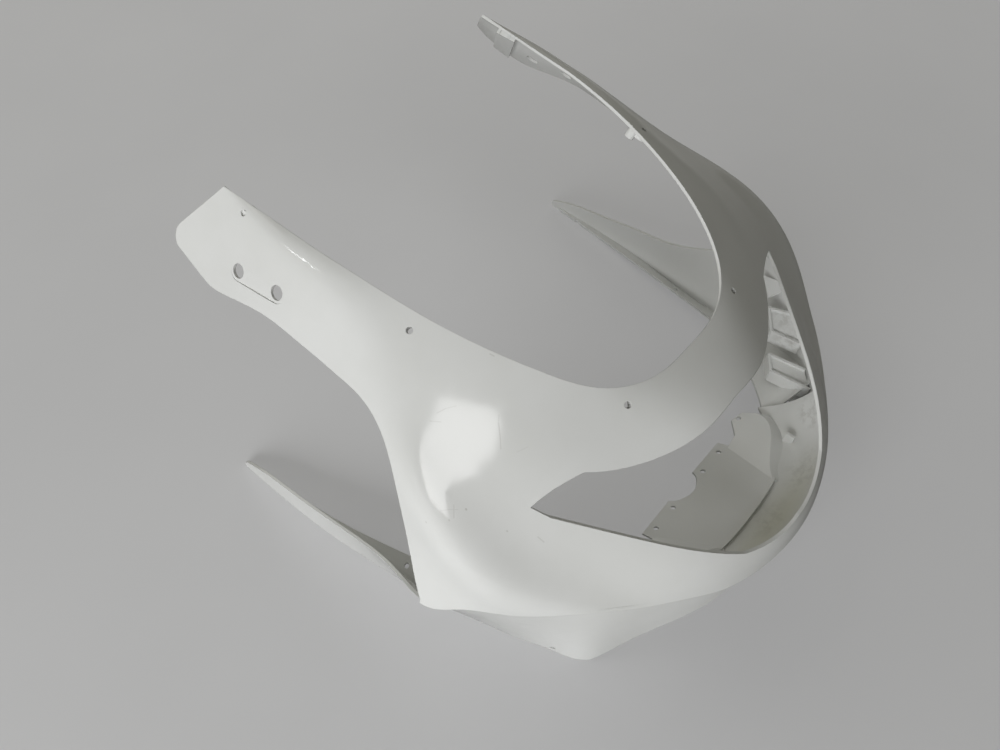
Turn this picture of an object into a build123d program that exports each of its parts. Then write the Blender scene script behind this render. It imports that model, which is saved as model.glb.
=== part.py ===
from build123d import *
import os

os.makedirs("parts", exist_ok=True)

# Frame: X across the machine, nose toward -Y, Z up, floor at Z 0. All sizes in millimetres.

# Wall of the moulding
wall = 3.0
plate = 3.4            # vertical thickness of the sloping inner panels
lamp_start = 30.0      # the headlight opening is cut forward of this, from the drawing origin
reach = 400.0          # longer than the part, for through cuts
rib_pace = (0, 0.14, 0.36, 0.65, 1)   # where the five points of a rib sit along it
to_middle = 24.2       # last move, from the drawing origin to the middle of the part's length
down = (0, 0, -1)
up = (0, 0, 1)
bottom = (Align.CENTER, Align.CENTER, Align.MIN)

# Holes
screen_hole = 6.0
screen_holes = [(175.2, 192, 308.9), (162.5, 10.4, 285.5), (80.4, -152, 243)]
mirror_hole = 13.5
mirror_holes = [(203.5, 180.8, 267.4), (200.5, 132.6, 272)]
screen_boss = 15.0
screen_boss_height = 7.5   # from the middle of the wall
lug_places = [(157, 16.5, 289.5)]
lug_diameter = 10.0
lug_height = 11.5      # from the middle of the wall
pad_width = 19.0
pad_sink = 0.4         # of the middle of the flat mirror pad below the crown of the arm
pad_turn = 4.0         # degrees, so that the pad is deepest along its lower side
strap_rear = [(173, 203, 309.5), (192, 222, 284), (209, 238, 260)]
strap_front = [(172, 179, 307.5), (193, 199, 281), (213, 219, 253)]
strap_height = 7.0
hole_reach = 40.0      # length of the drill for holes through one wall
small_hole = 5.0
tray_holes_x = (27.5, 57.5)
tray_holes_y = -200.3
cheek_hole = (102.5, -195)
ledge_holes = [(261, 143), (240.5, -29)]
skirt_hole = (-191.5, 9)

# Outer skin: one half as ribs from the screen rim to the crease, nose first
skin_ribs = [
    [(0, -158, 249), (0, -198, 230), (0, -239, 197), (0, -282, 155), (0, -310, 94)],
    [(46, -154, 249), (51, -188, 230), (54, -228, 197), (59, -270, 155), (76, -296, 94)],
    [(88, -130, 255), (97, -157, 233), (107, -196, 200), (116, -239, 157), (120, -273, 103)],
    [(118, -84, 271), (137, -113, 246), (157, -150, 210), (168, -192, 163), (162, -243, 110)],
    [(138, -31, 284), (163, -57, 262), (193, -92, 228), (214, -141, 181), (204, -207, 118)],
    [(151, 22, 295), (175, 9, 278), (207, -22, 248), (245, -81, 205), (244, -161, 117)],
    [(156, 53, 300.5), (177.5, 44, 287), (205, 18, 256), (242, -37, 209), (264, -128, 113)],
    [(160, 85, 305), (179, 79, 294), (201, 58, 263), (235, 9, 211), (281, -96, 107)],
    [(163, 120, 308), (178.5, 117, 300), (197, 106, 273), (224, 78, 232), (258, 30, 178)],
    [(165, 157, 311), (178, 155, 305), (194, 150, 282), (216, 141, 250), (236, 130, 220)],
    [(167.5, 197, 314.5), (177, 196, 307), (195.5, 198, 279), (220, 201, 241), (238, 203, 213)],
    [(170, 237, 318), (176, 237, 309), (193.5, 241, 285), (217.5, 246, 249), (237, 251, 219)],
    [(172.5, 283, 322), (178.5, 283, 311.5), (195.5, 283, 291), (218, 284, 260), (239, 285, 229)],
]

# Arm: a point on the line of its rear end, in side view
arm_top = (200, 342.4)

# Skirt and rear wing: straight lines from just under the skin at the crease to below the floor
skirt_ribs = [
    [(55, -299.5, 97), (55, -298.5, -5)],
    [(75.3, -294, 99), (75, -293, -5)],
    [(119, -271.3, 108), (119, -272.5, -5)],
    [(160.8, -241.4, 115), (162, -243.5, -5)],
    [(187.7, -219.5, 120), (192.5, -224, -5)],
    [(224.5, -182.7, 123), (210, -185, -5)],
    [(242.4, -159.8, 122), (219.5, -160, -5)],
    [(262.3, -126, 118), (229.5, -127, -5)],
    [(279.3, -95, 112), (238, -96, -5)],
    [(275, -42, 111), (250, -42, -5)],
    [(268, 5, 111), (257.5, 5, -5)],
    [(266, 52, 111), (264.2, 52, -5)],
    [(262, 112, 111), (268.7, 112, -5)],
    [(258, 202, 111), (270, 202, -5)],
]

# Ledge inside the skirt and wing, underside: its line on the wall and its free edge, wing tip first
ledge_root = [(266.8, 175, 0.6), (266.8, 112, 0.6), (262.8, 52, 0.6), (256.6, 5, 0.6), (250, -42, 0.6),
              (241.3, -96, 8), (228, -150, 27), (210.6, -190, 47), (188.5, -220.5, 65), (168, -234.5, 78)]
ledge_edge = [(264, 175, 0.7), (257.4, 112, 1.2), (248.8, 52, 4.6), (239.5, 5, 10), (229, -42, 16),
              (214, -95, 25), (185, -145, 38), (156, -179, 45), (138, -199, 46), (120, -216, 45)]

# Chin panel behind the crease: one half of its outer, middle and inner line, ending at the middle
chin_outer = [(-148, -248, 114), (-134, -258, 112), (-117.5, -269.5, 108.5), (-98.5, -281, 104),
              (-74.5, -292, 99.5), (-44, -300, 99), (0, -306.2, 99)]
chin_middle = [(-138, -232, 78), (-127, -240, 79), (-110, -254, 77), (-92, -267, 77), (-68, -277, 77),
               (-41, -283, 77.5), (0, -287, 78)]
chin_inner = [(-128, -204, 49), (-120, -214, 50), (-105, -231, 56), (-87, -244, 62), (-62, -255, 66.5),
              (-40, -261.5, 67.5), (0, -263.5, 69)]

# Sloping tray
tray_y = -202.0
tray_z = 41.0
tray_fall = 0.477
tray_front = -268.0
tray_back = -180.0

# Raised cheek beside the tray: its fold line, crest and outer foot in plan
cheek_rise = 14.0
fold_back = (67, -205)
fold_front = (47, -264)
crest_back = (106, -224)
crest = [fold_front, (77, -243), crest_back, (113, -207.5)]
cheek_edge = [(113, -207.5), (110, -194), (98.6, -190), (83, -203), (64, -205), (44, -264), fold_front]
cheek_foot = [(49, -267, 70), (68, -261, 67), (92, -252, 64), (110, -239, 60), (123, -223, 55)]

# Open boxes and a gusset on the inner face of the skirt: two corners on the wall, two inside
boxes = [
    [(203, -201.5, 86), (224, -175.5, 97), (213, -152, 99), (195, -169, 89)],
    [(160.5, -238, 80), (181.3, -221.5, 78), (173.5, -181, 80), (159.5, -193, 75)],
]
box_depth = 18.0
box_floor = 3.0
gusset = [(239.8, -151.2, 101), (247, -141.2, 106), (245, -125, 104), (229, -143, 95)]
tab_place = (98, -251, 63)
tab_size = (3, 10, 16)


def spline_wire(points, side=1):
    with BuildLine() as line:
        Spline(*[(side * x, y, z) for x, y, z in points])
    return line.wire()


def straight_wire(start, end):
    with BuildLine() as line:
        Line(start, end)
    return line.wire()


def ruled(start_a, end_a, start_b, end_b):
    edges = [straight_wire(*ends).edge() for ends in ((start_a, end_a), (start_b, end_b))]
    return Face.make_surface_from_curves(*edges)


def lowered(point, drop):
    return Vector(*point) - Vector(0, 0, drop)


def tray_height(y):
    return tray_z + (tray_y - y) * tray_fall


def whole_line(half):
    return half + [(-x, y, z) for x, y, z in reversed(half[:-1])]


def vectors(points, side=1):
    return [Vector(side * x, y, z) for x, y, z in points]


def rib_wire(points, side=1):
    with BuildLine() as line:
        add(Edge.make_spline(vectors(points, side), parameters=rib_pace))
    return line.wire()


def line_pace(points):
    lengths = [(q - p).length for p, q in zip(points, points[1:])]
    return [sum(lengths[:count]) / sum(lengths) for count in range(len(points))]


# Face between two lines that are given point by point, straight from each point to its partner
def band(line_a, line_b):
    pace = line_pace(vectors(line_a))
    edges = [Edge.make_spline(vectors(line), parameters=pace) for line in (line_a, line_b)]
    return Face.make_surface_from_curves(*edges)


# Skin with the headlight opening
skin_wires = [rib_wire(points, -1) for points in reversed(skin_ribs[1:])]
skin_wires += [rib_wire(points) for points in skin_ribs]
skin_face = Shell.make_loft(skin_wires).face()
with BuildPart() as skin:
    thicken(skin_face, amount=-wall)
    # Side view: everything behind the arms and the rear panel edge goes
    with BuildSketch(Plane.YZ):
        with BuildLine():
            Line(arm_top, (257, 277))
            Spline((257, 277), (261.6, 267.7), (260.6, 262), (253.8, 255.2))
            Spline((253.8, 255.2), (239.7, 249.3), (225, 244.2), (208, 240.6), (193, 242), (169, 246.8),
                   (143, 251), (120, 251.3), (91.5, 247.4), (53, 243), (25, 242.5), (-5.6, 235.4),
                   (-35.9, 215), (-58.3, 180.3), (-78.8, 136.4), (-95, 110))
            Polyline((-95, 110), (-104, 60), (reach, 60), (reach, arm_top[1]), arm_top)
        make_face()
    extrude(amount=reach, both=True, mode=Mode.SUBTRACT)
    # Front view: headlight opening
    with BuildSketch(Plane.XZ.offset(lamp_start)):
        with BuildLine():
            Spline((0, 222), (54, 216), (100, 211.5), (139, 215.5))
            Spline((139, 215.5), (163, 210), (186, 200.5))
            Line((186, 200.5), (179, 192))
            Line((179, 192), (68, 126))
            Spline((68, 126), (40, 120), (0, 119))
            Line((0, 119), (0, 222))
        make_face()
        mirror(about=Plane.YZ)
    extrude(amount=reach, mode=Mode.SUBTRACT)

# Skirt and wing of one side, with the ledge and the boxes inside it
skirt_face = band([top for top, foot in skirt_ribs], [foot for top, foot in skirt_ribs])
with BuildPart() as skirt:
    thicken(skirt_face, amount=wall)
    with BuildSketch(Plane.YZ):
        with BuildLine():
            Spline((-292, 96), (-279.5, 59), (-259, 39), (-238, 15), (-224, 0),
                   tangents=((0.2, -1), (1, -0.9)))
            Line((-224, 0), (188, 0))
            Spline((188, 0), (190, 4), (184, 11), tangents=((1, 0.2), (-1, 0.5)))
            Spline((184, 11), (153.7, 23), (101, 34), (52, 45), (4.6, 55), (-42, 72.7), (-96, 104),
                   tangents=((-1, 0.5), (-0.8, 0.6)))
            Spline((-96, 104), (-125, 114.5), (-161, 119), (-207, 120), (-243, 112.5), (-273, 105.5),
                   (-292, 96))
        make_face()
    extrude(amount=reach, mode=Mode.INTERSECT)
    with Locations(Plane.YZ * Location((*skirt_hole, 0))):
        Cylinder(small_hole / 2, reach, align=bottom, mode=Mode.SUBTRACT)
    extrude(band(ledge_root, ledge_edge), amount=plate, dir=up)
    with Locations(*[(x, y, 0) for x, y in ledge_holes]):
        Cylinder(small_hole / 2, 2 * hole_reach, mode=Mode.SUBTRACT)
    for a, b, c, d in boxes:
        extrude(ruled(*[lowered(corner, box_floor) for corner in (a, b, d, c)]), amount=wall, dir=down)
        for start, end in ((a, d), (b, c), (d, c)):
            box_side = ruled(start, end, lowered(start, box_depth), lowered(end, box_depth))
            thicken(box_side, amount=wall / 2, both=True)
    extrude(ruled(gusset[0], gusset[1], gusset[3], gusset[2]), amount=wall, dir=down)

# Chin panel and tray
chin_lines = [spline_wire(whole_line(half)) for half in (chin_outer, chin_middle, chin_inner)]
chin_face = Shell.make_loft(chin_lines).face()
with BuildPart() as tray:
    with BuildSketch(Plane.YZ):
        Polygon((tray_front, tray_height(tray_front)), (tray_back, tray_height(tray_back)),
                (tray_back, tray_height(tray_back) - plate), (tray_front, tray_height(tray_front) - plate),
                align=None)
    extrude(amount=reach, both=True)
    with BuildSketch(Plane.XY):
        with BuildLine():
            Spline((0, -267), (38, -265.5), (50, -264))
            Polyline((50, -264), (70, -205), (69, -192.5), (22, -192))
            Spline((22, -192), (11, -203), (0, -206), tangents=((-0.3, -1), (-1, 0)))
            Line((0, -206), (0, -267))
        make_face()
        mirror(about=Plane.YZ)
    extrude(amount=reach, mode=Mode.INTERSECT)
    with Locations(*[(side * x, tray_holes_y, 0) for side in (1, -1) for x in tray_holes_x]):
        Cylinder(small_hole / 2, reach, mode=Mode.SUBTRACT)
    extrude(chin_face, amount=plate, dir=down)

# Cheek of one side
fold_a = Vector(*fold_back, tray_height(fold_back[1]))
fold_b = Vector(*fold_front, tray_height(fold_front[1]))
high = Vector(*crest_back, tray_height(crest_back[1]) + cheek_rise)
cheek_normal = (fold_b - fold_a).cross(high - fold_a)


def on_cheek(point):
    x, y = point
    drop = (x - fold_a.X) * cheek_normal.X + (y - fold_a.Y) * cheek_normal.Y
    return (x, y, fold_a.Z - drop / cheek_normal.Z)


crest_wire = spline_wire([on_cheek(p) for p in crest])
with BuildPart() as cheek:
    with BuildLine() as cheek_ring:
        add(crest_wire)
        Polyline(*[on_cheek(p) for p in cheek_edge])
    extrude(Face(cheek_ring.wire()), amount=plate, dir=down)
    outer_slope = Face.make_surface_from_curves(crest_wire.edge(), spline_wire(cheek_foot).edge())
    extrude(outer_slope, amount=plate, dir=down)
    with Locations((*cheek_hole, 0)):
        Cylinder(small_hole / 2, reach, mode=Mode.SUBTRACT)
    with Locations(tab_place):
        Box(*tab_size, align=bottom)


# Plane on the skin that looks inward, and a point in the middle of the wall
def skin_plane(point, along=None):
    spot = skin_face.closest_points(Vertex(*point))[0]
    inward = -skin_face.normal_at(spot)
    if along is None:
        return Plane(origin=spot, z_dir=inward)
    return Plane(origin=spot, x_dir=along, z_dir=inward - along * (inward.dot(along) / along.dot(along)))


def in_wall(point):
    return tuple(skin_plane(point).offset(wall / 2).origin)


# The same on both sides of the moulding
def inner_planes(points):
    return [skin_plane(spot).offset(wall / 2) for side in (1, -1) for spot in vectors(points, side)]


# The whole moulding
with BuildPart() as moulding:
    add(skin.part)
    add(tray.part)
    for side_part in (skirt.part, cheek.part):
        add(side_part)
        mirror(side_part, about=Plane.YZ)
    # Screen holes with bosses behind them, and a lug under each side of the rim
    with Locations(*inner_planes(lug_places)):
        Cylinder(lug_diameter / 2, lug_height, align=bottom)
    with Locations(*inner_planes(screen_holes)):
        Cylinder(screen_boss / 2, screen_boss_height, align=bottom)
        Cylinder(screen_hole / 2, hole_reach, mode=Mode.SUBTRACT)
    # Flat sunk mirror pads with two parallel holes, and a strap across the inside of the arm
    for side in (1, -1):
        rear, front = vectors(mirror_holes, side)
        pad = skin_plane((rear + front) / 2, front - rear)
        with BuildSketch(Plane(pad.offset(pad_sink).location * Rotation(X=-side * pad_turn))):
            SlotCenterToCenter((front - rear).length, pad_width)
        extrude(amount=-wall, mode=Mode.SUBTRACT)
        sides = [[in_wall(point) for point in vectors(line, side)] for line in (strap_rear, strap_front)]
        extrude(band(*sides), amount=strap_height, dir=pad.z_dir)
        with Locations(pad.offset(wall / 2)):
            with GridLocations((front - rear).length, 0, 2, 1):
                Cylinder(mirror_hole / 2, hole_reach, mode=Mode.SUBTRACT)

# Moved so that the origin is on the floor under the middle of the part
with BuildPart() as nose_fairing:
    with Locations((0, to_middle, 0)):
        add(moulding.part)

nose_fairing.part.label = "nose_fairing"
export_step(nose_fairing.part, "parts/nose_fairing.step")
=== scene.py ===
import bpy
from mathutils import Matrix, Vector

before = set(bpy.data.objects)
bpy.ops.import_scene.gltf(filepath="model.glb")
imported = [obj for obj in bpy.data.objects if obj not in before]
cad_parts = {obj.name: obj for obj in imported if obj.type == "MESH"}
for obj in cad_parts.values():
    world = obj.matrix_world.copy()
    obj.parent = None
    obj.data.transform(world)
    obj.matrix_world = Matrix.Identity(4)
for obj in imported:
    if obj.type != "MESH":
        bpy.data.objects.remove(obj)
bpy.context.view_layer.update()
scene = bpy.context.scene
scene.view_settings.view_transform = "Standard"

MM = 0.001

# Colours of the plastic, of what lies on it, and of the painted shade on the chin
WHITE = (0.80, 0.805, 0.795)
WHITE_CLOUD = (0.77, 0.775, 0.76)
DUST = (0.58, 0.57, 0.53)
# Yellowish olive of the painted shade on the chin's inner walls
OLIVE_SHADE = (0.66, 0.65, 0.49)
GRIME = (0.30, 0.285, 0.25)

# Plastic: index of refraction, softening of the edges in mm and depth of the surface waves in mm
PLASTIC_IOR = 1.52
EDGE_RADIUS = 0.6
EDGE_SAMPLES = 6
WAVE_DEPTH = 1.0
WAVE_STRENGTH = 0.04

# Direction that the inner walls of the far side and the chin face
INWARD = Vector((-0.5, 0.75, 0.4))

# Painted shade on the chin's inner walls, darker and yellowish olive: its place in mm, radius in mm
# and stretch along x, y, z, then its strength
CHIN_SHADE = ((0, -262, 84), 40.0, (3.2, 0.9, 0.8))
CHIN_SHADE_STRENGTH = 0.5

# Place on the part in mm, radius in mm, stretch along x, y, z and strength
SMUDGES = [
    ((199.2, -168.3, 78.7), 26.0, (1, 1.2, 0.8), 0.6),
    ((215.2, -146.1, 92.7), 16.0, (1, 1, 1), 0.5),
    ((158.7, -198.6, 75.0), 20.0, (1, 1.2, 0.8), 0.4),
    ((124.6, -229.2, 93.3), 24.0, (1, 1.2, 0.8), 0.5),
    ((68.3, -258.1, 83.8), 30.0, (1.4, 1, 1), 0.25),
    ((3.0, -259.3, 76.6), 26.0, (1.6, 1, 1), 0.2),
]

# Start and end on the part in mm, half width in mm and strength
SCRATCHES = [
    ((-160.3, -58.2, 251.8), (-164.5, -61.3, 248.1), 0.7, 0.2),
    ((-164.5, -61.3, 248.1), (-167.8, -65.2, 244.3), 0.9, 0.3),
    ((-167.8, -65.2, 244.3), (-171.6, -69.5, 239.8), 0.8, 0.3),
    ((-171.6, -69.5, 239.8), (-175.6, -73.4, 235.3), 0.7, 0.25),
    ((-190.8, -19.3, 251.2), (-184.1, -23.0, 253.8), 0.8, 0.17),
    ((-184.1, -23.0, 253.8), (-177.9, -28.3, 255.5), 0.8, 0.12),
    ((-198.2, -18.2, 247.1), (-193.2, -25.6, 247.3), 0.8, 0.15),
    ((-227.6, -68.8, 209.7), (-234.0, -74.3, 203.7), 0.7, 0.22),
    ((-238.0, -63.2, 207.6), (-232.5, -67.9, 208.0), 0.6, 0.15),
    ((-232.5, -67.9, 208.0), (-227.6, -73.0, 207.2), 0.6, 0.15),
    ((-194.5, -129.4, 181.0), (-193.2, -134.8, 176.8), 1.0, 0.22),
    ((-134.2, -26.4, 278.5), (-133.2, -29.7, 277.6), 0.9, 0.26),
    ((-168.4, -84.1, 233.1), (-160.0, -88.4, 234.9), 0.8, 0.09),
    ((-222.9, -77.3, 206.6), (-223.0, -77.8, 206.2), 1.2, 0.52),
    ((-237.6, -72.3, 203.0), (-237.7, -72.7, 202.8), 1.1, 0.38),
    ((-209.9, -109.3, 189.3), (-209.8, -109.7, 189.0), 1.1, 0.38),
    ((-249.4, -57.8, 198.3), (-249.5, -58.2, 198.1), 1.1, 0.3),
]

# Floor: half its side in m, its two tones, and the tone that the camera alone adds to them
FLOOR_HALF = 6.0
FLOOR_TONES = ((0.39, 0.39, 0.395), (0.41, 0.41, 0.415))
FLOOR_LIFT_COLOUR = (0.99, 0.99, 1.0, 1)
FLOOR_LIFT = 0.2
FLOOR_ROUGHNESS = 0.85

# Light of the surroundings on the part, and the backdrop that the camera sees instead
AMBIENT = (0.09, 0.088, 0.074)
BACKDROP = (0.27, 0.27, 0.274)

# Colours of the lamps
NEUTRAL = (1, 1, 1)
COOL = (0.99, 0.997, 1.0)
WARM = (1.0, 0.99, 0.95)
WARMER = (1.0, 0.99, 0.93)

# Camera at the photograph's view: place in m, directions, lens and sensor in mm
CAMERA_PLACE = (-0.4383, -0.2983, 0.8285)
CAMERA_RIGHT = Vector((0.6519, -0.7583, 0.0))
CAMERA_UP = Vector((0.6199, 0.5330, 0.5758))
CAMERA_LENS = 30.96
CAMERA_SENSOR = 36.0


# Shader helpers
def new_material(name):
    material = bpy.data.materials.new(name)
    material.use_nodes = True
    tree = material.node_tree
    return material, tree, tree.nodes["Principled BSDF"]


def noise(tree, coords, scale, detail, roughness):
    node = tree.nodes.new("ShaderNodeTexNoise")
    node.inputs["Scale"].default_value = scale
    node.inputs["Detail"].default_value = detail
    node.inputs["Roughness"].default_value = roughness
    tree.links.new(coords, node.inputs["Vector"])
    return node.outputs["Fac"]


def ramp(tree, value, low, high, out_low=0.0, out_high=1.0, interpolation="SMOOTHSTEP"):
    node = tree.nodes.new("ShaderNodeMapRange")
    node.interpolation_type = interpolation
    node.inputs["From Min"].default_value = low
    node.inputs["From Max"].default_value = high
    node.inputs["To Min"].default_value = out_low
    node.inputs["To Max"].default_value = out_high
    tree.links.new(value, node.inputs["Value"])
    return node.outputs["Result"]


def math_node(tree, operation, first, second):
    node = tree.nodes.new("ShaderNodeMath")
    node.operation = operation
    for socket, value in zip(node.inputs, (first, second)):
        if isinstance(value, (int, float)):
            socket.default_value = value
        else:
            tree.links.new(value, socket)
    return node.outputs["Value"]


def vector_node(tree, operation, first, second=None):
    node = tree.nodes.new("ShaderNodeVectorMath")
    node.operation = operation
    for socket, value in zip(node.inputs, (first, second)):
        if isinstance(value, Vector):
            socket.default_value = value
        elif value is not None:
            tree.links.new(value, socket)
    return node


def mix_colour(tree, factor, first, second):
    node = tree.nodes.new("ShaderNodeMix")
    node.data_type = "RGBA"
    tree.links.new(factor, node.inputs["Factor"])
    for socket, value in zip((node.inputs[6], node.inputs[7]), (first, second)):
        if isinstance(value, tuple):
            socket.default_value = (*value, 1)
        else:
            tree.links.new(value, socket)
    return node.outputs[2]


def strongest(tree, values):
    result = values[0]
    for value in values[1:]:
        result = math_node(tree, "MAXIMUM", result, value)
    return result


# Soft round patch about a point of the part: 1 at the point, 0 from the given distance on
def patch(tree, coords, place, radius, stretch):
    mapping = tree.nodes.new("ShaderNodeMapping")
    mapping.vector_type = "TEXTURE"
    mapping.inputs["Location"].default_value = [value * MM for value in place]
    mapping.inputs["Scale"].default_value = [value * radius * MM for value in stretch]
    tree.links.new(coords, mapping.inputs["Vector"])
    distance = vector_node(tree, "LENGTH", mapping.outputs["Vector"]).outputs["Value"]
    return ramp(tree, distance, 0.0, 1.0, 1.0, 0.0)


# Thin line between two points of the part: 1 along it, 0 from the given distance on
def scratch(tree, coords, start, end, half_width):
    first = Vector(start) * MM
    along = Vector(end) * MM - first
    offset = vector_node(tree, "SUBTRACT", coords, first).outputs["Vector"]
    share = vector_node(tree, "DOT_PRODUCT", offset, along / along.length_squared).outputs["Value"]
    clamped = ramp(tree, share, 0.0, 1.0, interpolation="LINEAR")
    reach = vector_node(tree, "SCALE", along)
    tree.links.new(clamped, reach.inputs["Scale"])
    across = vector_node(tree, "SUBTRACT", offset, reach.outputs["Vector"]).outputs["Vector"]
    distance = vector_node(tree, "LENGTH", across).outputs["Value"]
    return ramp(tree, distance, 0.0, half_width * MM, 1.0, 0.0)


# Inner side of the moulding: 1 on walls that face back into it, 0 on its outer skin
def inner_side(tree):
    normal = tree.nodes.new("ShaderNodeTexCoord").outputs["Normal"]
    facing = vector_node(tree, "DOT_PRODUCT", normal, INWARD).outputs["Value"]
    return ramp(tree, facing, 0.0, 0.2)


# Grime on the inner side and scratches on the flank, as one strength
def wear(tree, coords, inside):
    grain = ramp(tree, noise(tree, coords, 110.0, 6.0, 0.65), 0.42, 0.66)
    smears = strongest(tree, [
        math_node(tree, "MULTIPLY", patch(tree, coords, place, radius, stretch), strength)
        for place, radius, stretch, strength in SMUDGES
    ])
    lines = strongest(tree, [
        math_node(tree, "MULTIPLY", scratch(tree, coords, start, end, half_width), strength)
        for start, end, half_width, strength in SCRATCHES
    ])
    grime = math_node(tree, "MULTIPLY", math_node(tree, "MULTIPLY", smears, grain), inside)
    return math_node(tree, "MAXIMUM", grime, lines)


# Normal with softened edges and the faint waves of a moulded surface
def moulded_normal(tree, coords):
    edge = tree.nodes.new("ShaderNodeBevel")
    edge.samples = EDGE_SAMPLES
    edge.inputs["Radius"].default_value = EDGE_RADIUS * MM
    bump = tree.nodes.new("ShaderNodeBump")
    bump.inputs["Strength"].default_value = WAVE_STRENGTH
    bump.inputs["Distance"].default_value = WAVE_DEPTH * MM
    tree.links.new(noise(tree, coords, 60.0, 2.0, 0.5), bump.inputs["Height"])
    tree.links.new(edge.outputs["Normal"], bump.inputs["Normal"])
    return bump.outputs["Normal"]


# White ABS as moulded: faint cloudiness, gloss, dust, painted shade on the chin's inner walls, grime
# and scratches
def white_abs():
    material, tree, shader = new_material("white_abs")
    coords = tree.nodes.new("ShaderNodeTexCoord").outputs["Object"]
    inside = inner_side(tree)
    marks = wear(tree, coords, inside)
    cloud = ramp(tree, noise(tree, coords, 9.0, 4.0, 0.55), 0.35, 0.68)
    speck = ramp(tree, noise(tree, coords, 420.0, 2.0, 0.6), 0.68, 0.8, 0.0, 0.05)
    # Painted shade: the chin's inner walls are darkened to a yellowish olive where they lie in shade
    chin_shade_mask = math_node(tree, "MULTIPLY", patch(tree, coords, *CHIN_SHADE), inside)
    painted_chin_shade = math_node(tree, "MULTIPLY", chin_shade_mask, CHIN_SHADE_STRENGTH)
    colour = mix_colour(tree, cloud, WHITE, WHITE_CLOUD)
    colour = mix_colour(tree, speck, colour, DUST)
    colour = mix_colour(tree, painted_chin_shade, colour, OLIVE_SHADE)
    colour = mix_colour(tree, marks, colour, GRIME)
    gloss = ramp(tree, noise(tree, coords, 35.0, 4.0, 0.6), 0.3, 0.75, 0.09, 0.14)
    tree.links.new(colour, shader.inputs["Base Color"])
    tree.links.new(math_node(tree, "MAXIMUM", gloss, marks), shader.inputs["Roughness"])
    tree.links.new(moulded_normal(tree, coords), shader.inputs["Normal"])
    shader.inputs["IOR"].default_value = PLASTIC_IOR
    return material


# Pale floor: part of its tone is seen by the camera alone, so that it stays even far from the lamps
def floor_material():
    material, tree, shader = new_material("floor")
    coords = tree.nodes.new("ShaderNodeTexCoord").outputs["Object"]
    tone = ramp(tree, noise(tree, coords, 3.0, 3.0, 0.5), 0.3, 0.7)
    tree.links.new(mix_colour(tree, tone, *FLOOR_TONES), shader.inputs["Base Color"])
    camera_ray = tree.nodes.new("ShaderNodeLightPath").outputs["Is Camera Ray"]
    lift = math_node(tree, "MULTIPLY", camera_ray, FLOOR_LIFT)
    tree.links.new(lift, shader.inputs["Emission Strength"])
    shader.inputs["Emission Color"].default_value = FLOOR_LIFT_COLOUR
    shader.inputs["Roughness"].default_value = FLOOR_ROUGHNESS
    return material


# The moulding keeps its own node and takes the finish
def moulding():
    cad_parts["nose_fairing"].material_slots[0].material = white_abs()


def floor():
    mesh = bpy.data.meshes.new("floor")
    half = FLOOR_HALF
    corners = [(-half, -half, 0), (half, -half, 0), (half, half, 0), (-half, half, 0)]
    mesh.from_pydata(corners, [], [(0, 1, 2, 3)])
    mesh.materials.append(floor_material())
    ground = bpy.data.objects.new("floor", mesh)
    scene.collection.objects.link(ground)


# Rectangular lamp: place, target and size in m, power in W
def area_light(name, place, target, size, power, colour=NEUTRAL):
    data = bpy.data.lights.new(name, "AREA")
    data.shape = "RECTANGLE"
    data.size, data.size_y = size
    data.energy = power
    data.color = colour
    lamp = bpy.data.objects.new(name, data)
    lamp.location = place
    lamp.rotation_euler = (Vector(target) - Vector(place)).to_track_quat("-Z", "Y").to_euler()
    scene.collection.objects.link(lamp)
    return lamp


# Broad key from the near side, weaker rear and far lamps, and two small lamps seen only in reflections
def lamps():
    key = area_light("window", (-2.4, -0.66, 0.98), (0, 0, 0.15), (2.0, 1.4), 54, COOL)
    area_light("rear", (0, 2.0, 1.7), (0, 0, 0.1), (2.0, 2.0), 11, WARMER)
    fill = area_light("fill", (2.0, 1.1, 0.7), (0, 0, 0.15), (1.6, 1.2), 11, WARM)
    for broad in (key, fill):
        broad.visible_glossy = False
    pane = area_light("pane", (-1.115, -0.618, 1.41), (-0.19, -0.04, 0.24), (0.62, 0.42), 4.0)
    glint = area_light("lamp", (-1.15, 0.82, 1.37), (-0.175, 0.131, 0.302), (0.06, 0.06), 0.22)
    for small in (pane, glint):
        small.visible_diffuse = False


def surroundings():
    world = bpy.data.worlds.new("studio")
    world.use_nodes = True
    tree = world.node_tree
    camera_ray = tree.nodes.new("ShaderNodeLightPath").outputs["Is Camera Ray"]
    shade = mix_colour(tree, camera_ray, AMBIENT, BACKDROP)
    tree.links.new(shade, tree.nodes["Background"].inputs["Color"])
    scene.world = world


def camera():
    data = bpy.data.cameras.new("camera")
    data.sensor_fit = "HORIZONTAL"
    data.sensor_width = CAMERA_SENSOR
    data.lens = CAMERA_LENS
    eye = bpy.data.objects.new("camera", data)
    back = CAMERA_RIGHT.cross(CAMERA_UP)
    turn = Matrix((CAMERA_RIGHT, CAMERA_UP, back)).transposed()
    eye.matrix_world = Matrix.Translation(CAMERA_PLACE) @ turn.to_4x4()
    scene.collection.objects.link(eye)
    scene.camera = eye


moulding()
floor()
lamps()
surroundings()
camera()
